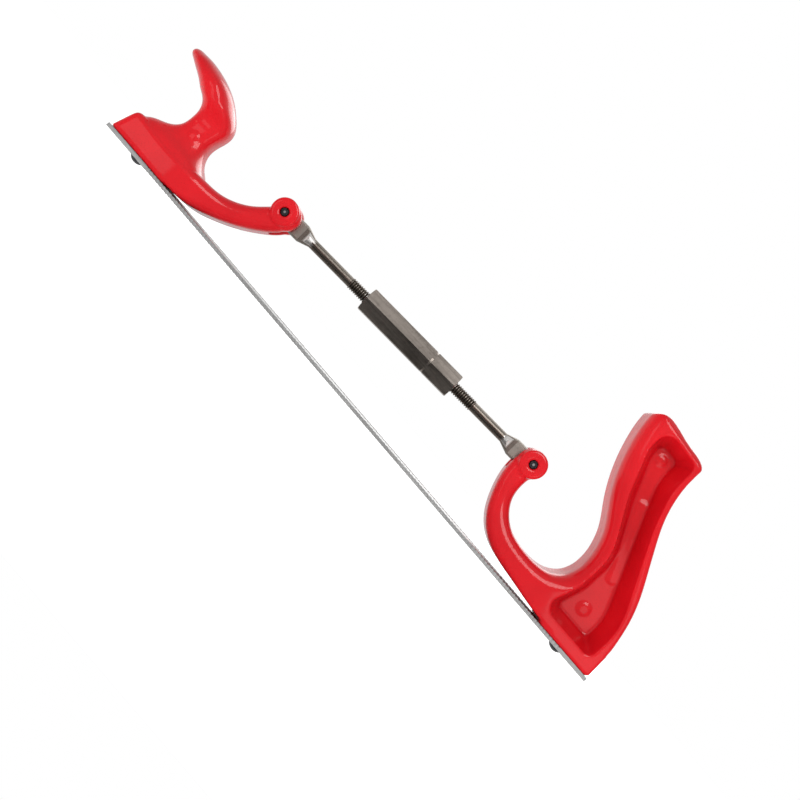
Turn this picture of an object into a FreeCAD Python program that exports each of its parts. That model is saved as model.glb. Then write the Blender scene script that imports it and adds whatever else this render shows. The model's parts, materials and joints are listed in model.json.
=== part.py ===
import FreeCAD, Part
import math
import os

# Adjustable body-file holder: a flexible file under two cast handles, bowed by a turnbuckle.
# Lengths in mm. Stations x run from the front end of the file to its rear end, y goes
# across the tool and z rises from the seat where the handles stand on the file.

Vec = FreeCAD.Vector

# file
FILE_LENGTH = 355.6
FILE_WIDTH = 35.0
FILE_THICKNESS = 2.0
FILE_CORNER = 0.5

# file screws
SCREW_X_FRONT = 17.2
SCREW_X_REAR = 337.6
SCREW_RADIUS = 2.5
SCREW_DEPTH = 9.0
SCREW_HOLE_DEPTH = 11.0
SCREW_HOLE_CLEARANCE = 0.05
HEAD_RADIUS = 4.3
HEAD_RISE = 2.3
SLOT_WIDTH = 1.2
SLOT_DEPTH = 1.3

# handles
HANDLE_WIDTH = 35.0
PAD_HEIGHT = 0.8
TOE_RADIUS = 3.2
HEEL_ROUND = 0.8
TOP_CHAMFER = 2.0
BOSS_RADIUS = 7.3
BOSS_HALF_WIDTH = 11.0
FORK_END_RADIUS = 7.7
FORK_HALF_WIDTH = 9.6
FORK_SLOT = 6.6
FORK_SLOT_RADIUS = 12.5

# round ejector mark on each side of the front handle's neck
NECK_MARK = (30.0, 26.6)
NECK_MARK_RADIUS = 2.2
NECK_MARK_HALF = 10.9

# pivots
FRONT_PIVOT = (87.2, 36.4)
REAR_PIVOT = (260.9, 48.3)
PIN_RADIUS = 2.38
PIN_HALF_LENGTH = 10.0
PIN_PRESS_GAP = 0.01

# turnbuckle; distances along its line are measured from the front pivot
ROD_DROP = 0.8
EYE_RADIUS = 4.9
EYE_THICKNESS = 6.0
FLAT_REACH = 13.4
RUNOUT_RADIUS = 12.0
CONE_START = 12.6
CONE_END = 19.0
ROD_RADIUS = 2.65
THREAD_RADIUS = 3.15
THREAD_ROOT = 2.42
THREAD_PITCH = 1.27
FRONT_THREAD = (46.5, 82.0)
BARREL = (57.9, 119.5)
REAR_THREAD = (95.2, 133.1)
REAR_EYE_HOLE = 2.45
FRONT_EYE_HOLE = 2.66
BARREL_FLATS = 12.9
BARREL_TURN = -2.0
BARREL_BORE = 3.24
GROOVE_FROM_REAR = 17.0
GROOVE_WIDTH = 1.1
GROOVE_RADIUS = 6.55

# grip recess
WEB_HALF = 2.5
MARK_HEIGHT = 0.5

# Sections of the handle bands: inner (upper) point, outer (lower) point, half width,
# corner radius at the inner edge, corner radius at the outer edge.
FRONT_BAND = [
    ((87.6, 40.2), (94.8, 33.4), 9.5, 4.0, 4.0),
    ((83.4, 36.6), (92.4, 28.2), 9.6, 4.2, 4.2),
    ((79.3, 32.3), (88.3, 23.4), 9.9, 4.5, 4.5),
    ((74.5, 26.8), (81.6, 17.6), 10.7, 4.8, 4.8),
    ((68.6, 22.1), (73.8, 12.1), 11.9, 4.9, 4.9),
    ((62.0, 18.8), (65.4, 7.4), 13.3, 5.0, 4.8),
    ((55.5, 17.2), (57.2, 3.7), 14.9, 5.0, 4.2),
    ((49.5, 16.6), (50.0, 1.6), 16.2, 5.0, 3.0),
    ((42.5, 15.4), (42.5, 0.7), 17.1, 4.2, 2.0),
    ((34.0, 14.2), (34.0, 0.5), 17.5, 3.2, 1.5),
    ((24.0, 13.9), (23.0, 0.5), 17.5, 3.0, 1.5),
    ((14.0, 14.7), (11.5, 0.5), 17.5, 3.2, 1.5),
    ((8.6, 15.0), (5.8, 0.5), 17.5, 3.2, 1.5),
    ((5.6, 14.3), (3.0, 0.5), 17.5, 3.2, 1.5),
    ((4.3, 12.6), (1.6, 0.5), 17.5, 3.0, 1.5),
    ((3.2, 9.4), (0.9, 0.5), 17.5, 2.8, 1.5),
]

REAR_BAND = [
    ((266.2, 47.6), (253.0, 47.0), 9.5, 4.0, 4.0),
    ((265.4, 41.2), (252.9, 40.6), 9.6, 4.3, 4.3),
    ((265.7, 35.0), (254.3, 33.6), 9.9, 4.5, 4.5),
    ((267.3, 29.6), (257.2, 26.2), 10.4, 4.7, 4.7),
    ((270.2, 25.3), (261.4, 18.7), 11.1, 4.9, 4.9),
    ((274.3, 21.6), (267.2, 12.0), 12.1, 5.0, 5.0),
    ((279.5, 18.9), (275.3, 7.0), 13.3, 5.2, 4.8),
    ((285.5, 17.6), (284.3, 4.7), 14.6, 5.5, 4.0),
    ((291.5, 17.2), (293.2, 3.7), 15.8, 5.8, 3.0),
    ((298.2, 17.6), (303.0, 2.7), 16.8, 6.2, 2.0),
    ((304.2, 19.0), (315.0, 1.6), 17.3, 6.7, 1.5),
    ((307.4, 20.7), (326.0, 1.3), 17.5, 7.1, 1.5),
    ((309.9, 22.8), (337.0, 1.5), 17.5, 7.5, 1.5),
    ((311.8, 25.2), (346.0, 3.4), 17.5, 8.0, 1.5),
    ((313.1, 28.1), (352.4, 7.6), 17.5, 8.5, 1.5),
    ((313.9, 31.4), (353.8, 14.2), 17.5, 9.0, 1.5),
    ((314.1, 35.2), (352.2, 22.6), 17.5, 9.5, 1.5),
    ((313.5, 40.3), (349.4, 31.8), 17.5, 10.0, 1.5),
    ((311.7, 46.4), (344.4, 43.0), 17.5, 10.0, 1.5),
    ((308.4, 53.2), (337.8, 53.8), 17.5, 10.0, 1.5),
    ((303.2, 60.0), (330.6, 64.8), 17.5, 10.0, 1.5),
    ((297.0, 67.6), (324.2, 75.2), 17.5, 10.0, 1.5),
    ((291.0, 76.8), (320.0, 84.3), 17.5, 10.0, 1.5),
    ((286.2, 86.5), (317.5, 92.6), 17.5, 9.5, 1.5),
    ((282.8, 95.5), (316.3, 99.6), 17.5, 9.0, 1.5),
    ((280.6, 103.6), (315.9, 106.5), 17.5, 8.5, 1.5),
    ((279.6, 111.5), (315.7, 113.5), 17.5, 8.0, 1.5),
    ((279.2, 119.0), (315.6, 120.0), 17.5, 8.0, 1.5),
]
HEEL_OUTLINE = [(328.0, 0.9), (355.2, 0.9), (354.0, 14.0), (330.0, 14.0)]

# Rounded sections of neck and horn: front point, rear point, half width, squareness.
HORN = [
    ((6.6, 9.0), (43.0, 9.0), 16.7, 6.5),
    ((6.2, 12.6), (46.4, 13.0), 16.6, 6.0),
    ((7.6, 15.9), (46.6, 16.0), 15.6, 5.0),
    ((10.6, 18.5), (44.3, 18.0), 14.0, 4.4),
    ((14.8, 20.9), (41.2, 20.8), 12.3, 3.9),
    ((18.6, 24.2), (39.2, 24.5), 10.9, 3.6),
    ((20.5, 28.5), (38.5, 28.9), 10.2, 3.5),
    ((20.7, 33.0), (39.2, 33.6), 10.2, 3.4),
    ((20.0, 37.4), (40.1, 39.2), 10.7, 3.0),
    ((18.2, 41.0), (38.4, 44.0), 13.6, 2.7),
    ((14.0, 43.8), (33.4, 48.9), 15.3, 2.5),
    ((9.4, 46.4), (26.1, 53.7), 15.4, 2.4),
    ((4.7, 48.8), (17.5, 56.8), 14.2, 2.3),
    ((0.7, 50.6), (9.0, 58.1), 12.0, 2.2),
    ((-2.3, 52.0), (2.4, 58.0), 9.2, 2.1),
    ((-4.2, 53.1), (-1.8, 57.6), 6.6, 2.1),
    ((-4.8, 54.0), (-3.5, 57.0), 4.4, 2.0),
    ((-5.0, 54.9), (-4.5, 56.3), 2.0, 2.0),
]

GRIP_TOP = [(268.0, 100.0), (278.6, 106.5), (281.4, 111.0), (285.0, 113.3), (289.5, 113.8),
            (298.0, 112.4), (306.0, 111.4), (311.6, 110.7), (314.5, 109.2), (316.4, 105.6)]

# Corners of the recess outline with their bend radii: at the side face and on the web.
RIM_CORNERS = [
    ((314.4, 6.9), 6.0), ((349.2, 6.9), 4.0), ((348.6, 27.5), 40.0), ((322.2, 71.5), 60.0),
    ((313.8, 90.5), 40.0), ((312.9, 107.2), 4.0), ((289.6, 109.1), 6.5), ((290.4, 96.0), 18.0),
    ((301.5, 73.0), 60.0), ((318.8, 47.5), 30.0), ((319.6, 26.0), 20.0)]
WEB_CORNERS = [
    ((321.0, 12.2), 3.0), ((343.6, 12.2), 2.5), ((342.9, 25.5), 30.0), ((315.4, 77.0), 60.0),
    ((308.4, 91.5), 30.0), ((307.5, 103.4), 3.0), ((295.2, 104.2), 3.5), ((296.0, 96.5), 12.0),
    ((306.6, 75.0), 60.0), ((323.9, 49.0), 30.0), ((324.6, 27.5), 15.0)]


def round_box_section(inner, outer, half, r_inner, r_outer):
    """Closed wire: rounded rectangle across the band between two points of the side view."""
    a = Vec(inner[0], 0, inner[1])
    b = Vec(outer[0], 0, outer[1])
    length = (b - a).Length
    u = (b - a).normalize()

    def at(s, y):
        return a + u * s + Vec(0, y, 0)

    def corner(s, y, ds, dy, r, first, last):
        k = r * (1 - math.sqrt(0.5))
        mid = at(s + ds * k, y + dy * k)
        return Part.Arc(first, mid, last).toShape()

    w = half
    p = [at(r_inner, -w), at(length - r_outer, -w), at(length, -w + r_outer), at(length, w - r_outer),
         at(length - r_outer, w), at(r_inner, w), at(0, w - r_inner), at(0, -w + r_inner)]
    edges = [
        Part.makeLine(p[0], p[1]),
        corner(length, -w, -1, 1, r_outer, p[1], p[2]),
        Part.makeLine(p[2], p[3]),
        corner(length, w, -1, -1, r_outer, p[3], p[4]),
        Part.makeLine(p[4], p[5]),
        corner(0, w, 1, -1, r_inner, p[5], p[6]),
        Part.makeLine(p[6], p[7]),
        corner(0, -w, 1, 1, r_inner, p[7], p[0]),
    ]
    return Part.Wire(edges)


def oval_section(front, rear, half, power, count=32):
    """Closed smooth wire: a squared-off ellipse between two points of the side view."""
    centre = Vec((front[0] + rear[0]) / 2, 0, (front[1] + rear[1]) / 2)
    reach = Vec((rear[0] - front[0]) / 2, 0, (rear[1] - front[1]) / 2)
    points = []
    for i in range(count):
        turn = 2 * math.pi * i / count
        c = math.cos(turn)
        s = math.sin(turn)
        along = math.copysign(abs(c) ** (2 / power), c)
        across = math.copysign(abs(s) ** (2 / power), s)
        points.append(centre + reach * along + Vec(0, half * across, 0))
    ring = Part.BSplineCurve()
    ring.interpolate(points, PeriodicFlag=True)
    return Part.Wire([ring.toShape()])


def loft(wires):
    return Part.makeLoft(wires, True, False, False, 5)


def bent_outline(corners, y):
    """Closed wire of straight lines joined by tangent arcs, one arc at each corner."""
    count = len(corners)
    arcs = []
    for i in range(count):
        here = Vec(corners[i][0][0], y, corners[i][0][1])
        before = Vec(corners[i - 1][0][0], y, corners[i - 1][0][1])
        after = Vec(corners[(i + 1) % count][0][0], y, corners[(i + 1) % count][0][1])
        back = (before - here).normalize()
        ahead = (after - here).normalize()
        half_angle = back.getAngle(ahead) / 2
        reach = corners[i][1] / math.tan(half_angle)
        bisector = (back + ahead).normalize()
        middle = here + bisector * (corners[i][1] / math.sin(half_angle) - corners[i][1])
        arcs.append((here + back * reach, middle, here + ahead * reach))
    edges = []
    for i in range(count):
        edges.append(Part.Arc(*arcs[i]).toShape())
        edges.append(Part.makeLine(arcs[i][2], arcs[(i + 1) % count][0]))
    return Part.Wire(edges)


def cross_cylinder(point, radius, half, extra=0.0):
    """Cylinder along y, centred on the tool's middle plane."""
    start = Vec(point[0], -half - extra, point[1])
    return Part.makeCylinder(radius, 2 * (half + extra), start, Vec(0, 1, 0))


def fork_end(pivot, offset):
    """Rounded end of an arm with a disc boss standing proud on both sides."""
    centre = (pivot[0] + offset[0], pivot[1] + offset[1])
    end = cross_cylinder(centre, FORK_END_RADIUS, FORK_HALF_WIDTH)
    end = end.makeFillet(2.5, end.Edges)
    boss = cross_cylinder(pivot, BOSS_RADIUS, BOSS_HALF_WIDTH)
    boss = boss.makeFillet(0.8, boss.Edges)
    return end.fuse(boss)


def fork_cuts(pivot):
    """Slot for the eye and the pin's hole."""
    slot = cross_cylinder(pivot, FORK_SLOT_RADIUS, FORK_SLOT / 2)
    hole = cross_cylinder(pivot, PIN_RADIUS + PIN_PRESS_GAP, BOSS_HALF_WIDTH, 2)
    mouth = 0.5
    edge = PIN_RADIUS + PIN_PRESS_GAP
    cuts = slot.fuse(hole)
    for side in (-1, 1):
        face = Vec(pivot[0], side * BOSS_HALF_WIDTH, pivot[1])
        cone = Part.makeCone(edge + mouth, edge, mouth, face, Vec(0, -side, 0))
        cuts = cuts.fuse(cone)
    return cuts


def foot_pad(x_low, x_high):
    """Low seat under a handle, with rounded upright corners."""
    pad = Part.makeBox(x_high - x_low, HANDLE_WIDTH - 1.0, PAD_HEIGHT + 1.0)
    pad.translate(Vec(x_low, -(HANDLE_WIDTH - 1.0) / 2, 0))
    upright = [e for e in pad.Edges if e.BoundBox.ZLength > PAD_HEIGHT]
    return pad.makeFillet(TOE_RADIUS, upright)


def screw_hole(x):
    return Part.makeCylinder(SCREW_RADIUS + SCREW_HOLE_CLEARANCE, SCREW_HOLE_DEPTH, Vec(x, 0, 0))


def toe_cut(side):
    """Rounds one upright corner of the leaning front face of the foot."""
    top = FRONT_BAND[-1][0]
    bottom = FRONT_BAND[-1][1]
    lean = Vec(top[0] - bottom[0], 0, top[1] - bottom[1])
    half = HANDLE_WIDTH / 2
    corner = Part.Arc(Vec(0, side * (half - TOE_RADIUS), 0),
                      Vec(TOE_RADIUS * 0.2929, side * (half - TOE_RADIUS * 0.2929), 0),
                      Vec(TOE_RADIUS, side * half, 0)).toShape()
    rest = Part.makePolygon([Vec(TOE_RADIUS, side * half, 0), Vec(TOE_RADIUS, side * (half + 1), 0),
                             Vec(-2, side * (half + 1), 0), Vec(-2, side * (half - TOE_RADIUS), 0),
                             Vec(0, side * (half - TOE_RADIUS), 0)])
    tool = Part.Face(Part.Wire([corner] + rest.Edges)).extrude(lean * 2.2)
    tool.translate(Vec(bottom[0], 0, bottom[1]) - lean * 0.2)
    return tool


def front_handle():
    band = loft([round_box_section(*s) for s in FRONT_BAND])
    for side in (-1, 1):
        band = band.cut(toe_cut(side))
    horn = loft([oval_section(*s) for s in HORN])
    body = band.fuse(horn)
    body = body.fuse(cross_cylinder(NECK_MARK, NECK_MARK_RADIUS, NECK_MARK_HALF))
    body = body.fuse(foot_pad(1.4, 39.6))
    body = body.fuse(fork_end(FRONT_PIVOT, (1.5, -0.5)))
    body = body.cut(fork_cuts(FRONT_PIVOT))
    return body.cut(screw_hole(SCREW_X_FRONT))


def grip_recess(side):
    """Drafted pocket from one side face of the grip down to its middle web."""
    depth = HANDLE_WIDTH / 2
    rim = bent_outline(RIM_CORNERS, side * depth)
    web = bent_outline(WEB_CORNERS, side * WEB_HALF)
    pocket = Part.makeLoft([rim, web], True, True)
    mouth = Part.Face(rim).extrude(Vec(0, side, 0))
    return pocket.fuse(mouth)


def heel_block():
    """Square heel under the grip, with its rear corners rounded."""
    side = Part.Face(Part.makePolygon([Vec(x, 0, z) for x, z in HEEL_OUTLINE + HEEL_OUTLINE[:1]]))
    side.translate(Vec(0, -HANDLE_WIDTH / 2, 0))
    block = side.extrude(Vec(0, HANDLE_WIDTH, 0))
    rear = [e for e in block.Edges if e.BoundBox.XMin > 353 and e.BoundBox.ZMin < 13]
    return block.makeFillet(HEEL_ROUND, rear)


def above_grip():
    """Everything above the top outline of the grip."""
    top = Part.BSplineCurve()
    top.interpolate([Vec(x, 0, z) for x, z in GRIP_TOP])
    first = GRIP_TOP[0]
    last = GRIP_TOP[-1]
    frame = Part.makePolygon([Vec(last[0], 0, last[1]), Vec(last[0], 0, 130), Vec(first[0], 0, 130),
                              Vec(first[0], 0, first[1])])
    face = Part.Face(Part.Wire([top.toShape()] + frame.Edges))
    face.translate(Vec(0, -30, 0))
    return face.extrude(Vec(0, 60, 0))


def top_chamfer(side):
    """Takes the sharp side edge off the top of the grip."""
    first = Vec(GRIP_TOP[3][0], 0, GRIP_TOP[3][1])
    last = Vec(GRIP_TOP[7][0], 0, GRIP_TOP[7][1])
    slope = math.degrees(math.atan2(first.z - last.z, last.x - first.x))
    block = Part.makeBox(100, 20, 20, Vec(-50, -10, 0))
    block.rotate(Vec(0, 0, 0), Vec(1, 0, 0), -45 * side)
    block.translate(Vec(0, side * (HANDLE_WIDTH - TOP_CHAMFER) / 2, -TOP_CHAMFER / 2))
    block.rotate(Vec(0, 0, 0), Vec(0, 1, 0), slope)
    block.translate((first + last) * 0.5)
    return block


def web_marks():
    """Round ejector marks and a plain raised bar on both sides of the web."""
    shapes = []
    for x, z, radius in ((332.4, 20.8, 2.9), (301.6, 98.2, 2.4)):
        shapes.append(cross_cylinder((x, z), radius, WEB_HALF + MARK_HEIGHT))
    low = Vec(330.6, 0, 41.5)
    high = Vec(312.5, 0, 76.0)
    run = high - low
    bar = Part.makeBox(5.0, 2 * (WEB_HALF + MARK_HEIGHT), run.Length)
    bar.translate(Vec(-2.5, -WEB_HALF - MARK_HEIGHT, 0))
    ends = cross_cylinder((0, 0), 2.5, WEB_HALF + MARK_HEIGHT)
    bar = bar.fuse(ends).fuse(ends.translated(Vec(0, 0, run.Length)))
    bar = bar.removeSplitter()
    bar.rotate(Vec(0, 0, 0), Vec(0, 1, 0), math.degrees(math.atan2(run.x, run.z)))
    bar.translate(low)
    shapes.append(bar)
    return shapes


def rear_handle():
    body = loft([round_box_section(*s) for s in REAR_BAND])
    body = body.cut(above_grip())
    for side in (-1, 1):
        body = body.cut(top_chamfer(side))
    body = body.fuse(heel_block())
    body = body.fuse(foot_pad(319.3, 354.6))
    for side in (-1, 1):
        body = body.cut(grip_recess(side))
    for mark in web_marks():
        body = body.fuse(mark)
    body = body.fuse(fork_end(REAR_PIVOT, (-0.5, -0.3)))
    body = body.cut(fork_cuts(REAR_PIVOT))
    return body.cut(screw_hole(SCREW_X_REAR))


def file_blade():
    plate = Part.makeBox(FILE_LENGTH, FILE_WIDTH, FILE_THICKNESS)
    plate.translate(Vec(0, -FILE_WIDTH / 2, -FILE_THICKNESS))
    upright = [e for e in plate.Edges if e.BoundBox.ZLength > FILE_THICKNESS / 2]
    plate = plate.makeFillet(FILE_CORNER, upright)
    for x in (SCREW_X_FRONT, SCREW_X_REAR):
        hole = Part.makeCylinder(SCREW_RADIUS + 0.2, 3 * FILE_THICKNESS, Vec(x, 0, -2 * FILE_THICKNESS))
        sink = Part.makeCone(HEAD_RADIUS + 0.05, SCREW_RADIUS + 0.05, HEAD_RADIUS - SCREW_RADIUS,
                             Vec(x, 0, -FILE_THICKNESS))
        plate = plate.cut(hole).cut(sink)
    return plate


def file_screw(x):
    under = -FILE_THICKNESS
    shank = Part.makeCylinder(SCREW_RADIUS, SCREW_DEPTH + FILE_THICKNESS, Vec(0, 0, under))
    shank = shank.makeChamfer(0.5, [shank.Edges[0]])
    cone = Part.makeCone(HEAD_RADIUS, SCREW_RADIUS, HEAD_RADIUS - SCREW_RADIUS, Vec(0, 0, under))
    dome_radius = (HEAD_RADIUS ** 2 + HEAD_RISE ** 2) / (2 * HEAD_RISE)
    dome = Part.makeSphere(dome_radius, Vec(0, 0, under - HEAD_RISE + dome_radius))
    disc = Part.makeCylinder(HEAD_RADIUS, HEAD_RISE, Vec(0, 0, under - HEAD_RISE))
    head = dome.common(disc)
    slot = Part.makeBox(4 * HEAD_RADIUS, SLOT_WIDTH, SLOT_DEPTH)
    slot.translate(Vec(-2 * HEAD_RADIUS, -SLOT_WIDTH / 2, under - HEAD_RISE))
    screw = shank.fuse(cone).fuse(head).cut(slot).removeSplitter()
    screw.translate(Vec(x, 0, 0))
    return screw


def pivot_pin(pivot):
    pin = cross_cylinder(pivot, PIN_RADIUS, PIN_HALF_LENGTH)
    rims = [e for e in pin.Edges if e.Curve.TypeId == "Part::GeomCircle"]
    return pin.makeChamfer(0.5, rims)


def thread_outline(start, end):
    """Half profile of the threaded length: ridges one pitch apart."""
    outline = []
    x = start
    while x + THREAD_PITCH <= end:
        outline.append((x, THREAD_ROOT))
        outline.append((x + 0.44 * THREAD_PITCH, THREAD_RADIUS))
        outline.append((x + 0.56 * THREAD_PITCH, THREAD_RADIUS))
        x += THREAD_PITCH
    outline.append((x, THREAD_ROOT))
    return outline


def eye_rod(thread_from, thread_to, eye_hole):
    """Eye at the origin, rod and thread along +x, dropped below the eye's centre."""
    outline = [(-EYE_RADIUS, 0), (-EYE_RADIUS, EYE_RADIUS), (CONE_START, EYE_RADIUS),
               (CONE_END, ROD_RADIUS), (thread_from, ROD_RADIUS)]
    outline += thread_outline(thread_from, thread_to)
    outline.append((outline[-1][0], 0))
    outline.append(outline[0])
    profile = Part.Face(Part.makePolygon([Vec(x, 0, r) for x, r in outline]))
    rod = profile.revolve(Vec(0, 0, 0), Vec(1, 0, 0), 360)
    rod.translate(Vec(0, 0, -ROD_DROP))
    for side in (-1, 1):
        rod = rod.cut(flat_cut(side))
    rod = rod.cut(cross_cylinder((0, 0), eye_hole, EYE_RADIUS, 2))
    return rod.cut(eye_rounding())


def flat_cut(side):
    """Milled flat on one side of the eye, run out on the cutter's radius."""
    y = side * EYE_THICKNESS / 2
    block = Part.makeBox(FLAT_REACH + 20, 10, 30)
    block.translate(Vec(-20, y if side > 0 else y - 10, -15))
    wheel = Part.makeCylinder(RUNOUT_RADIUS, 30, Vec(FLAT_REACH, y + side * RUNOUT_RADIUS, -15))
    return block.fuse(wheel)


def eye_rounding():
    """Material outside the round end of the eye."""
    box = Part.makeBox(EYE_RADIUS + 4, 20, 20)
    box.translate(Vec(-EYE_RADIUS - 4, -10, -10))
    disc = cross_cylinder((0, -ROD_DROP), EYE_RADIUS, 12)
    return box.cut(disc)


def turnbuckle_line():
    run = Vec(REAR_PIVOT[0] - FRONT_PIVOT[0], 0, REAR_PIVOT[1] - FRONT_PIVOT[1])
    return run.Length, math.degrees(math.atan2(run.z, run.x))


def on_front_pivot(shape):
    """Moves a shape drawn along +x from the front pivot onto the turnbuckle's line."""
    length, slope = turnbuckle_line()
    shape.rotate(Vec(0, 0, 0), Vec(0, 1, 0), -slope)
    shape.translate(Vec(FRONT_PIVOT[0], 0, FRONT_PIVOT[1]))
    return shape


def front_eye_rod():
    return on_front_pivot(eye_rod(FRONT_THREAD[0], FRONT_THREAD[1], FRONT_EYE_HOLE))


def rear_eye_rod():
    length, slope = turnbuckle_line()
    rod = eye_rod(length - REAR_THREAD[1], length - REAR_THREAD[0], REAR_EYE_HOLE)
    rod.rotate(Vec(0, 0, 0), Vec(0, 0, 1), 180)
    rod.translate(Vec(length, 0, 0))
    return on_front_pivot(rod)


def turnbuckle_barrel():
    length = BARREL[1] - BARREL[0]
    corner = BARREL_FLATS / math.sqrt(3)
    hexagon = Part.makePolygon([
        Vec(0, corner * math.cos(math.radians(60 * i)), corner * math.sin(math.radians(60 * i)))
        for i in range(7)])
    bar = Part.Face(hexagon).extrude(Vec(length, 0, 0))
    bar.rotate(Vec(0, 0, 0), Vec(1, 0, 0), BARREL_TURN)
    rim = BARREL_FLATS / 2 + 0.1
    ends = Part.Face(Part.makePolygon([
        Vec(0, 0, 0), Vec(0, 0, rim), Vec(0.6, 0, corner + 0.1), Vec(length - 0.6, 0, corner + 0.1),
        Vec(length, 0, rim), Vec(length, 0, 0), Vec(0, 0, 0)]))
    bar = bar.common(ends.revolve(Vec(0, 0, 0), Vec(1, 0, 0), 360))
    bore = Part.makeCylinder(BARREL_BORE, length + 2, Vec(-1, 0, 0), Vec(1, 0, 0))
    bar = bar.cut(bore)
    for x, way in ((0, 1), (length, -1)):
        sink = Part.makeCone(BARREL_BORE + 0.7, BARREL_BORE, 0.7, Vec(x, 0, 0), Vec(way, 0, 0))
        bar = bar.cut(sink)
    at = length - GROOVE_FROM_REAR - GROOVE_WIDTH / 2
    groove = Part.makeCylinder(corner + 1, GROOVE_WIDTH, Vec(at, 0, 0), Vec(1, 0, 0))
    groove = groove.cut(Part.makeCylinder(GROOVE_RADIUS, GROOVE_WIDTH, Vec(at, 0, 0), Vec(1, 0, 0)))
    bar = bar.cut(groove)
    bar.translate(Vec(BARREL[0], 0, -ROD_DROP))
    return on_front_pivot(bar)


def main():
    os.makedirs("parts", exist_ok=True)
    nodes = {
        "rear_handle": rear_handle(),
        "front_handle": front_handle(),
        "file_blade": file_blade(),
        "front_file_screw": file_screw(SCREW_X_FRONT),
        "rear_file_screw": file_screw(SCREW_X_REAR),
        "turnbuckle_barrel": turnbuckle_barrel(),
        "front_eye_rod": front_eye_rod(),
        "rear_eye_rod": rear_eye_rod(),
        "front_pivot_pin": pivot_pin(FRONT_PIVOT),
        "rear_pivot_pin": pivot_pin(REAR_PIVOT),
    }
    # the finished tool is centred in x and stands with its screw heads on z = 0
    whole = Part.makeCompound(list(nodes.values())).optimalBoundingBox()
    shift = Vec(-(whole.XMin + whole.XMax) / 2, 0, -whole.ZMin)
    print("shift", round(shift.x, 4), round(shift.z, 4))
    for name, shape in nodes.items():
        shape.translate(shift)
        print(name, shape.ShapeType, len(shape.Solids), shape.isValid(), round(shape.Volume, 1))
        shape.exportStep("parts/" + name + ".step")


main()
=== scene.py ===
import json
import math

import bmesh
import bpy
from mathutils import Matrix, Vector


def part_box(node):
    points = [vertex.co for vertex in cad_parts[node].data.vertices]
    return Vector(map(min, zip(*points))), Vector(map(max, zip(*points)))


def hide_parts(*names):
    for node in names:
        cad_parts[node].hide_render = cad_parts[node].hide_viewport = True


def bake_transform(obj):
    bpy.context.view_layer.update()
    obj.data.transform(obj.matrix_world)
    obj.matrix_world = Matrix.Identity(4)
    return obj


MM = 0.001

# ---------------------------------------------------------------- frame
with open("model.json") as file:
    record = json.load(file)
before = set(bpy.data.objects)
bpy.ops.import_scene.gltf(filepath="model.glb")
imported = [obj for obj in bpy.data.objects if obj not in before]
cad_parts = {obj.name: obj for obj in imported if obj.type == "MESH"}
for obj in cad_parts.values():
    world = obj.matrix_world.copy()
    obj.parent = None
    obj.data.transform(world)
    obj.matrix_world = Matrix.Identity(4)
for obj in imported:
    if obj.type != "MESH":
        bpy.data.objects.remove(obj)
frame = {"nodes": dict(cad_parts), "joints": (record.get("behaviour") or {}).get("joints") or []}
nodes = frame["nodes"]
joints = {joint["name"]: joint for joint in frame["joints"]}
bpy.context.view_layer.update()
scene = bpy.context.scene


# ---------------------------------------------------------------- node helpers
class Mat:
    """A procedural material: thin wrapper that adds and links shader nodes."""

    def __init__(self, name, **shader):
        self.mat = bpy.data.materials.new(name)
        self.mat.use_nodes = True
        self.tree = self.mat.node_tree
        self.shader = self.tree.nodes["Principled BSDF"]
        for key, value in shader.items():
            self.shader.inputs[key.replace("_", " ")].default_value = value
        place = self.tree.nodes.new("ShaderNodeTexCoord")
        self.coords = place.outputs["Object"]
        self.normal = place.outputs["Normal"]
        self.in_box = place.outputs["Generated"]

    def node(self, kind, **inputs):
        n = self.tree.nodes.new(kind)
        for key, value in inputs.items():
            socket = n.inputs[key.replace("_", " ")]
            if isinstance(value, bpy.types.NodeSocket):
                self.tree.links.new(value, socket)
            else:
                socket.default_value = value
        return n

    def stretched(self, scale, turn=(0, 0, 0)):
        n = self.node("ShaderNodeMapping", Vector=self.coords, Scale=scale, Rotation=turn)
        return n.outputs["Vector"]

    def noise(self, scale, detail=3.0, rough=0.55, at=None):
        n = self.node("ShaderNodeTexNoise", Vector=at or self.coords, Scale=scale, Detail=detail,
                      Roughness=rough)
        return n.outputs["Fac"]

    def ramp(self, value, *stops):
        n = self.node("ShaderNodeValToRGB", Fac=value)
        points = n.color_ramp.elements
        while len(points) < len(stops):
            points.new(0.5)
        for point, (place, level) in zip(points, stops):
            point.position = place
            point.color = (*level, 1)
        return n.outputs["Color"]

    def grey(self, value, *stops):
        return self.ramp(value, *[(p, (v, v, v)) for p, v in stops])

    def math(self, how, a, b):
        n = self.tree.nodes.new("ShaderNodeMath")
        n.operation = how
        for socket, value in zip(n.inputs, (a, b)):
            if isinstance(value, bpy.types.NodeSocket):
                self.tree.links.new(value, socket)
            else:
                socket.default_value = value
        return n.outputs["Value"]

    def mix(self, share, a, b):
        """Colour a with the given share of colour b over it."""
        n = self.tree.nodes.new("ShaderNodeMix")
        n.data_type = "RGBA"
        sockets = {s.identifier: s for s in n.inputs}
        for key, value in (("Factor_Float", share), ("A_Color", a), ("B_Color", b)):
            if isinstance(value, bpy.types.NodeSocket):
                self.tree.links.new(value, sockets[key])
            else:
                sockets[key].default_value = (*value, 1)
        return next(s for s in n.outputs if s.identifier == "Result_Color")

    def edges(self):
        """Above one half on outer edges and below it in hollows."""
        return self.node("ShaderNodeNewGeometry").outputs["Pointiness"]

    def bump(self, height, strength, distance, under=None):
        n = self.node("ShaderNodeBump", Height=height, Strength=strength, Distance=distance)
        if under is not None:
            self.tree.links.new(under, n.inputs["Normal"])
        return n.outputs["Normal"]

    def set(self, socket, value):
        self.tree.links.new(value, self.shader.inputs[socket])
        return self


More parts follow.
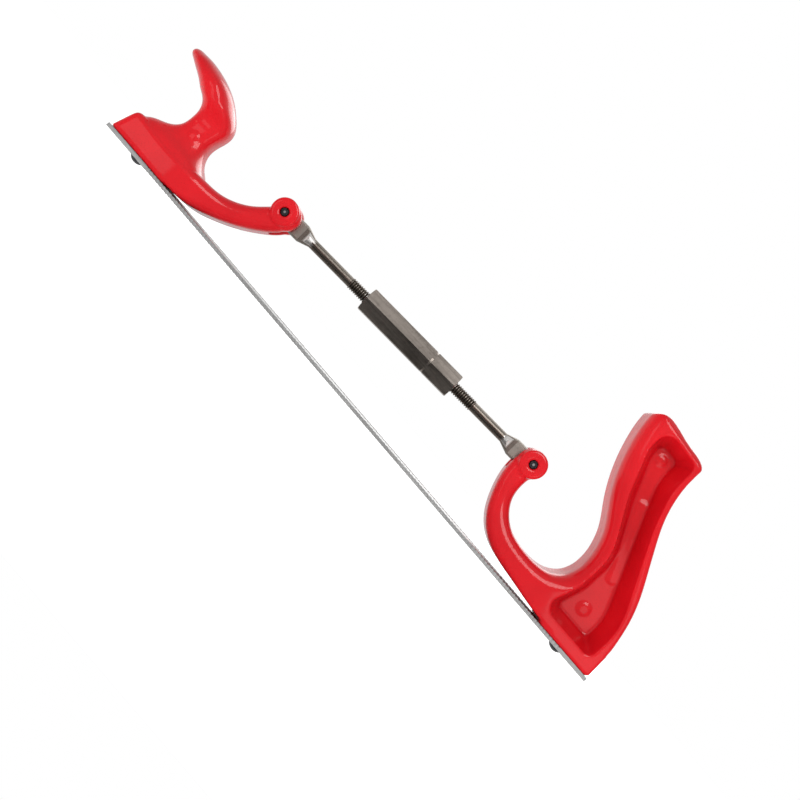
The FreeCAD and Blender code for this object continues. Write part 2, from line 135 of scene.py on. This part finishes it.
# ---------------------------------------------------------------- materials
def red_paint():
    """Glossy paint on a casting: pores, painted shade darkening the hollows, edges rubbed a little
    paler.
    """
    m = Mat("red_casting_paint", Coat_Weight=0.7, Coat_Roughness=0.08, Coat_IOR=1.45,
            Specular_IOR_Level=0.1)
    base = m.ramp(m.noise(38, 2.0), (0.35, (0.63, 0.005, 0.011)), (0.65, (0.72, 0.007, 0.014)))
    pores = m.grey(m.noise(2600, 2.0), (0.30, 1.0), (0.42, 0.0))
    base = m.mix(m.math("MULTIPLY", pores, 0.35), base, (0.30, 0.004, 0.008))
    edge = m.edges()
    # painted shade: hollows and concave corners are darkened where shade would fall
    painted_hollow_shade = m.grey(edge, (0.42, 1.0), (0.495, 0.0))
    base = m.mix(m.math("MULTIPLY", painted_hollow_shade, 0.8), base, (0.20, 0.003, 0.008))
    rubbed = m.grey(edge, (0.53, 0.0), (0.62, 1.0))
    scuffs = m.math("MULTIPLY", rubbed, m.grey(m.noise(420, 4.0), (0.45, 0.0), (0.62, 1.0)))
    base = m.mix(m.math("MULTIPLY", scuffs, 0.35), base, (0.86, 0.10, 0.09))
    m.set("Base Color", base)
    m.set("Roughness", m.grey(m.noise(160, 4.0), (0.3, 0.30), (0.7, 0.46)))
    peel = m.bump(m.noise(420, 2.0), 0.45, 0.00010)
    m.set("Normal", m.bump(m.noise(1500, 3.0), 0.45, 0.00006, peel))
    m.set("Coat Normal", m.bump(m.noise(420, 2.0), 0.10, 0.00010))
    return m.mat


def file_steel():
    """Bright steel with painted shade in the gullets and a few stains."""
    m = Mat("file_steel", Metallic=0.85)
    gullet_shade_node = m.node("ShaderNodeAttribute")
    gullet_shade_node.attribute_name = "gullet"
    depth = gullet_shade_node.outputs["Fac"]
    brushed = m.noise(900, 4.0, at=m.stretched((0.04, 1, 1)))
    base = m.ramp(brushed, (0.3, (0.50, 0.50, 0.50)), (0.7, (0.70, 0.70, 0.69)))
    # painted shade: the gullets are darkened in step with their depth
    base = m.mix(m.math("MULTIPLY", depth, 0.35), base, (0.28, 0.27, 0.26))
    stain = m.grey(m.noise(70, 4.0), (0.52, 0.0), (0.72, 1.0))
    base = m.mix(m.math("MULTIPLY", stain, 0.25), base, (0.36, 0.34, 0.31))
    m.set("Base Color", base)
    m.set("Roughness", m.grey(m.noise(240, 4.0), (0.3, 0.34), (0.7, 0.52)))
    m.set("Normal", m.bump(m.noise(1600, 3.0, at=m.stretched((0.15, 1, 1))), 0.35, 0.00004))
    return m.mat


def turned_steel(name, dark, light, rough, turn, scale=(0.05, 1, 1)):
    """Steel with drawn or turned streaks: stretched noise along or round the rod."""
    m = Mat(name, Metallic=1.0)
    streaks = m.noise(1400, 4.0, at=m.stretched(scale, turn))
    base = m.ramp(streaks, (0.3, dark), (0.7, light))
    spots = m.grey(m.noise(600, 5.0, 0.7), (0.50, 0.0), (0.68, 1.0))
    base = m.mix(m.math("MULTIPLY", spots, 0.5), base, tuple(0.55 * v for v in dark))
    edge = m.edges()
    # painted highlight: outer edges and thread crests get a lighter colour
    painted_edge_highlight = m.grey(edge, (0.52, 0.0), (0.60, 1.0))
    base = m.mix(m.math("MULTIPLY", painted_edge_highlight, 0.5), base, tuple(min(1, 1.7 * v) for v in light))
    m.set("Base Color", base)
    m.set("Roughness", m.grey(streaks, (0.3, rough - 0.07), (0.7, rough + 0.09)))
    m.set("Normal", m.bump(streaks, 0.25, 0.00003))
    return m.mat


def rod_steel():
    """Drawn steel: smooth milled flats at the eye darkened by painted shade, and a painted highlight
    on the slopes beside them.
    """
    m = Mat("rod_steel", Metallic=1.0)
    streaks = m.noise(1400, 3.0, at=m.stretched((0.04, 1, 1), (0, ROD_SLOPE, 0)))
    base = m.ramp(streaks, (0.3, (0.17, 0.145, 0.12)), (0.7, (0.25, 0.22, 0.19)))
    facing = m.node("ShaderNodeSeparateXYZ", Vector=m.normal).outputs["Y"]
    facing = m.math("ABSOLUTE", facing, 0.0)
    along = m.node("ShaderNodeSeparateXYZ", Vector=m.in_box).outputs["X"]
    along = m.math("ABSOLUTE", m.math("SUBTRACT", along, 0.5), 0.0)
    near_eye = m.grey(along, (0.20, 0.0), (0.22, 1.0))
    runout_highlight_mask = m.grey(facing, (0.60, 0.0), (0.70, 1.0), (0.985, 1.0), (0.994, 0.0))
    flat = m.grey(facing, (0.985, 0.0), (0.996, 1.0))
    # painted shade: the milled flats facing the sides are coloured dark brown
    flat_painted_shade = m.ramp(m.noise(260, 2.0), (0.35, (0.085, 0.052, 0.042)), (0.65, (0.15, 0.095, 0.078)))
    base = m.mix(flat, base, flat_painted_shade)
    # painted highlight: the sloped run-out beside the flats near the eye is coloured near-white
    base = m.mix(m.math("MULTIPLY", near_eye, runout_highlight_mask), base, (0.98, 0.94, 0.91))
    edge = m.edges()
    # painted highlight: outer edges and thread crests get a lighter colour
    painted_edge_highlight = m.grey(edge, (0.53, 0.0), (0.62, 1.0))
    base = m.mix(m.math("MULTIPLY", painted_edge_highlight, 0.6), base, (0.72, 0.66, 0.59))
    m.set("Base Color", base)
    m.set("Roughness", m.grey(streaks, (0.3, 0.32), (0.7, 0.44)))
    m.set("Normal", m.bump(streaks, 0.15, 0.00002))
    return m.mat


def pin_steel():
    """Blackened pin with a small painted highlight in the centre of each end."""
    m = Mat("pin_steel", Metallic=1.0)
    away = m.node("ShaderNodeVectorMath", Vector=m.in_box)
    away.operation = "SUBTRACT"
    away.inputs[1].default_value = (0.5, 0.5, 0.5)
    flat = m.node("ShaderNodeVectorMath", Vector=away.outputs[0])
    flat.operation = "MULTIPLY"
    flat.inputs[1].default_value = (1, 0, 1)
    size = m.node("ShaderNodeVectorMath", Vector=flat.outputs[0])
    size.operation = "LENGTH"
    rough = m.noise(900, 4.0)
    base = m.ramp(rough, (0.3, (0.030, 0.028, 0.030)), (0.7, (0.075, 0.070, 0.075)))
    highlight_reach = m.math("ADD", size.outputs["Value"], m.math("MULTIPLY", rough, 0.10))
    # painted highlight: a pale spot in the middle of each end face
    base = m.mix(m.grey(highlight_reach, (0.15, 1.0), (0.21, 0.0)), base, (0.42, 0.40, 0.40))
    m.set("Base Color", base)
    m.set("Roughness", m.grey(rough, (0.3, 0.30), (0.7, 0.48)))
    m.set("Normal", m.bump(rough, 0.3, 0.00003))
    return m.mat


def add_object(name, bm):
    """Turns a finished bmesh into an object of the scene."""
    mesh = bpy.data.meshes.new(name)
    bm.to_mesh(mesh)
    bm.free()
    obj = bpy.data.objects.new(name, mesh)
    scene.collection.objects.link(obj)
    return obj


def put(obj, mat):
    """Gives the whole object one material."""
    obj.data.materials.clear()
    obj.data.materials.append(mat)
    for polygon in obj.data.polygons:
        polygon.material_index = 0


rod_line = Vector(joints["rod_slide"]["axis"])
ROD_SLOPE = math.atan2(rod_line.z, rod_line.x)
paint = red_paint()
steel_file = file_steel()
steel_barrel = turned_steel("hexagon_steel", (0.28, 0.24, 0.21), (0.42, 0.37, 0.33), 0.40,
                            (0, ROD_SLOPE, 0))
steel_rod = rod_steel()
steel_screw = turned_steel("screw_steel", (0.06, 0.06, 0.065), (0.12, 0.12, 0.125), 0.38,
                           (0, 0, 0), (1, 1, 0.2))
steel_pin = pin_steel()


# ---------------------------------------------------------------- castings
def soften_casting(obj, voxel, rounds):
    """Cast edges: an even mesh smoothed just enough to round every edge."""
    even = obj.modifiers.new("even", "REMESH")
    even.mode = "VOXEL"
    even.voxel_size = voxel
    even.use_smooth_shade = True
    soft = obj.modifiers.new("soft", "SMOOTH")
    soft.factor = 0.5
    soft.iterations = rounds


EDGE_WIDTH = 0.12 * MM


def break_edges(obj, limit):
    """Small bevel on every edge sharper than the limit."""
    bevel = obj.modifiers.new("edge", "BEVEL")
    bevel.width = EDGE_WIDTH
    bevel.segments = 2
    bevel.limit_method = "ANGLE"
    bevel.angle_limit = math.radians(limit)


# node, voxel size, rounds of smoothing
CASTINGS = (("front_handle", 0.45 * MM, 20), ("rear_handle", 0.62 * MM, 8))
# material and sharpest angle in degrees that stays unbroken, for each machined piece
MACHINED = {
    "front_pivot_pin": (steel_pin, 30),
    "rear_pivot_pin": (steel_pin, 30),
    "front_file_screw": (steel_screw, 30),
    "rear_file_screw": (steel_screw, 30),
    "front_eye_rod": (steel_rod, 35),
    "rear_eye_rod": (steel_rod, 35),
    "turnbuckle_barrel": (steel_barrel, 20),
}

for name, voxel, rounds in CASTINGS:
    soften_casting(nodes[name], voxel, rounds)
    put(nodes[name], paint)

for name, (steel, limit) in MACHINED.items():
    put(nodes[name], steel)
    break_edges(nodes[name], limit)


# ---------------------------------------------------------------- file
TOOTH_PITCH = 2.3 * MM
TOOTH_DEPTH = 0.30 * MM
TOOTH_ARC = 32.0 * MM
PLAIN_END = 24.0 * MM
CORNER = 0.5 * MM
CORNER_ROWS = (0.03, 0.12, 0.3, 0.6)
ACROSS = 26
NEAR = 0.01 * MM
# height over the file's underside and radius of the countersunk hole's cutter
SINK_OUTLINE = [(-1.0 * MM, 4.5 * MM), (0.0, 4.5 * MM), (1.85 * MM, 2.62 * MM), (4.0 * MM, 2.62 * MM)]
SINK_SIDES = 48
# share of the pitch, share of the depth: land, steep face, hollow, back
TOOTH = [(0.00, 0.0), (0.10, 0.0), (0.16, 0.85), (0.26, 1.0), (0.45, 0.72), (0.75, 0.25)]


def tooth_rows(start, end, join, low, high):
    """Rows along the file: (x, share of the tooth depth). A whole tooth ends at the join."""
    rows = [(start, 0.0), (end, 0.0)]
    first = join - TOOTH_PITCH * math.ceil((join - start) / TOOTH_PITCH)
    for i in range(math.ceil((end - first) / TOOTH_PITCH)):
        for place, depth in TOOTH:
            at = first + (i + place) * TOOTH_PITCH
            if start + NEAR < at < end - NEAR:
                rows.append((at, depth if low < at < high else 0.0))
    return rows


def join_rings(bm, rings):
    """Faces between each closed ring of vertices and the next."""
    for a, b in zip(rings, rings[1:]):
        for k in range(len(a)):
            n = (k + 1) % len(a)
            bm.faces.new((a[k], a[n], b[n], b[k]))


def half_width(x, low, high, half):
    """Half the file's width at x, less at the rounded corners of its ends."""
    near = min(x - low, high - x)
    if near >= CORNER:
        return half
    near = max(near, 0.0)
    return half - CORNER + math.sqrt(max(CORNER ** 2 - (CORNER - near) ** 2, 0.0))


def file_half(name, start, end, join, box_low, box_high):
    """Half of the file: curved milled teeth on both faces, plain where the feet sit."""
    low_x, high_x = box_low.x, box_high.x
    half = (box_high.y - box_low.y) / 2
    corners = [low_x + CORNER * s for s in CORNER_ROWS]
    corners += [high_x - CORNER * s for s in CORNER_ROWS]
    rows = tooth_rows(start, end, join, low_x + PLAIN_END, high_x - PLAIN_END)
    rows = sorted(rows + [(x, 0.0) for x in corners if start < x < end])
    bm = bmesh.new()
    gullet = bm.verts.layers.float.new("gullet")
    rings = []
    for x, depth in rows:
        wide = half_width(x, low_x, high_x, half)
        fade = min(1.0, (x - low_x) / PLAIN_END, (high_x - x) / PLAIN_END)
        ring = []
        for face, level in ((1, box_high.z), (-1, box_low.z)):
            for j in range(ACROSS + 1):
                y = face * wide * (2 * j / ACROSS - 1)
                bow = TOOTH_ARC - math.sqrt(TOOTH_ARC ** 2 - y * y)
                vert = bm.verts.new((x + bow * fade, y, level - face * depth * TOOTH_DEPTH))
                vert[gullet] = depth
                ring.append(vert)
        rings.append(ring)
    join_rings(bm, rings)
    for ring in (rings[0], rings[-1]):
        for j in range(ACROSS):
            under = len(ring) - 1 - j
            bm.faces.new((ring[j], ring[j + 1], ring[under - 1], ring[under]))
    bmesh.ops.recalc_face_normals(bm, faces=bm.faces)
    return add_object(name, bm)


def countersink(obj, x, z_low):
    """Cuts the screw's countersunk hole out of the file."""
    bm = bmesh.new()
    rings = []
    for z, r in SINK_OUTLINE:
        ring = []
        for k in range(SINK_SIDES):
            a = k * math.tau / SINK_SIDES
            ring.append(bm.verts.new((x + r * math.cos(a), r * math.sin(a), z_low + z)))
        rings.append(ring)
    join_rings(bm, rings)
    bm.faces.new(list(reversed(rings[0])))
    bm.faces.new(rings[-1])
    cutter = add_object("cutter", bm)
    cut = obj.modifiers.new("hole", "BOOLEAN")
    cut.object = cutter
    cut.operation = "DIFFERENCE"
    cut.solver = "EXACT"
    graph = bpy.context.evaluated_depsgraph_get()
    made = bpy.data.meshes.new_from_object(obj.evaluated_get(graph))
    obj.modifiers.clear()
    obj.data = made
    bpy.data.objects.remove(cutter)


file_low, file_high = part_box("file_blade")
flex_front, flex_rear = (joints[name]["pos_m"][0] for name in ("front_flex", "rear_flex"))
FLEX_MIDDLE = (flex_front + flex_rear) / 2
screw_x = {}
for side in ("front", "rear"):
    low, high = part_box(side + "_file_screw")
    screw_x[side] = (low.x + high.x) / 2

file_front = file_half("file_front_half", file_low.x, FLEX_MIDDLE, FLEX_MIDDLE, file_low, file_high)
file_rear = file_half("file_rear_half", FLEX_MIDDLE, file_high.x, FLEX_MIDDLE, file_low, file_high)
for obj, side, sign in ((file_front, "front", -1), (file_rear, "rear", 1)):
    countersink(obj, screw_x[side], file_low.z)
    put(obj, steel_file)
    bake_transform(obj)
    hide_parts("file_blade")


# ---------------------------------------------------------------- floor
# a little more than the ends of the bowed file swing below their rest height
FLOOR_DROP = 10.5 * MM
FLOOR_RADIUS = 3.0


def flat_floor():
    """Pale round floor, just clear of the bowed file."""
    bm = bmesh.new()
    bmesh.ops.create_circle(bm, cap_ends=True, segments=96, radius=FLOOR_RADIUS)
    floor = add_object("floor", bm)
    floor.location.z = -FLOOR_DROP
    m = Mat("pale_floor", Roughness=0.9, Specular_IOR_Level=0.1, Emission_Strength=0.62)
    m.shader.inputs["Emission Color"].default_value = (1, 1, 1, 1)
    m.set("Base Color", m.ramp(m.noise(3.0), (0.3, (0.90, 0.90, 0.90)), (0.7, (0.93, 0.93, 0.93))))
    floor.data.materials.append(m.mat)
    floor.visible_glossy = False


flat_floor()


# ---------------------------------------------------------------- light
def soft_world():
    """Even white room to the eye; its light comes mostly from behind and above the tool."""
    world = bpy.data.worlds.new("studio")
    scene.world = world
    world.use_nodes = True
    tree = world.node_tree

    def ramp(value, low, high, at_low, at_high):
        n = tree.nodes.new("ShaderNodeMapRange")
        n.inputs["From Min"].default_value = low
        n.inputs["From Max"].default_value = high
        n.inputs["To Min"].default_value = at_low
        n.inputs["To Max"].default_value = at_high
        tree.links.new(value, n.inputs["Value"])
        return n.outputs[0]

    def larger(a, b):
        n = tree.nodes.new("ShaderNodeMath")
        n.operation = "MAXIMUM"
        tree.links.new(a, n.inputs[0])
        tree.links.new(b, n.inputs[1])
        return n.outputs[0]

    way = tree.nodes.new("ShaderNodeSeparateXYZ")
    tree.links.new(tree.nodes.new("ShaderNodeTexCoord").outputs["Generated"], way.inputs[0])
    behind = ramp(way.outputs["Y"], -0.35, 0.25, 0.0, 0.72)
    above = ramp(way.outputs["Z"], -0.8, 0.9, 0.05, 0.48)
    light = larger(behind, above)
    seen = tree.nodes.new("ShaderNodeLightPath").outputs["Is Camera Ray"]
    sky = tree.nodes["Background"]
    sky.inputs["Color"].default_value = (1, 1, 1, 1)
    tree.links.new(larger(light, seen), sky.inputs["Strength"])


def softbox(name, place, aim, size, watts):
    """Square area light that faces the aim."""
    data = bpy.data.lights.new(name, "AREA")
    data.shape = "SQUARE"
    data.size = size
    data.energy = watts
    light = bpy.data.objects.new(name, data)
    light.location = place
    light.rotation_mode = "QUATERNION"
    light.rotation_quaternion = (Vector(aim) - Vector(place)).to_track_quat("-Z", "Y")
    scene.collection.objects.link(light)


MIDDLE = Vector((0.0, 0.0, 0.05))
# name, place, width of the box, watts
LIGHTS = (
    ("key", (0.10, -0.95, 0.62), 0.55, 4.6),
    ("fill_front", (-0.36, -0.62, 0.02), 0.20, 0.12),
    ("fill_rear", (0.34, -0.62, 0.00), 0.20, 0.12),
    ("behind", (0.1, 0.9, 0.7), 0.8, 4.0),
)

soft_world()
for name, place, size, watts in LIGHTS:
    softbox(name, place, MIDDLE, size, watts)


# ---------------------------------------------------------------- camera
CAMERA_PLACE = (0.0188, -0.590, 0.0235)
CAMERA_LENS = 53.2
# the camera looks straight across the tool and is rolled, so that the file runs down to the right
CAMERA_RIGHT = Vector((0.651, 0, 0.759)).normalized()
CAMERA_BACK = Vector((0, -1, 0))


def add_camera():
    data = bpy.data.cameras.new("camera")
    data.lens = CAMERA_LENS
    data.sensor_width = 36
    camera = bpy.data.objects.new("camera", data)
    turn = Matrix((CAMERA_RIGHT, CAMERA_BACK.cross(CAMERA_RIGHT), CAMERA_BACK))
    camera.matrix_world = Matrix.Translation(CAMERA_PLACE) @ turn.transposed().to_4x4()
    scene.collection.objects.link(camera)
    scene.camera = camera


add_camera()
scene.view_settings.view_transform = "Standard"
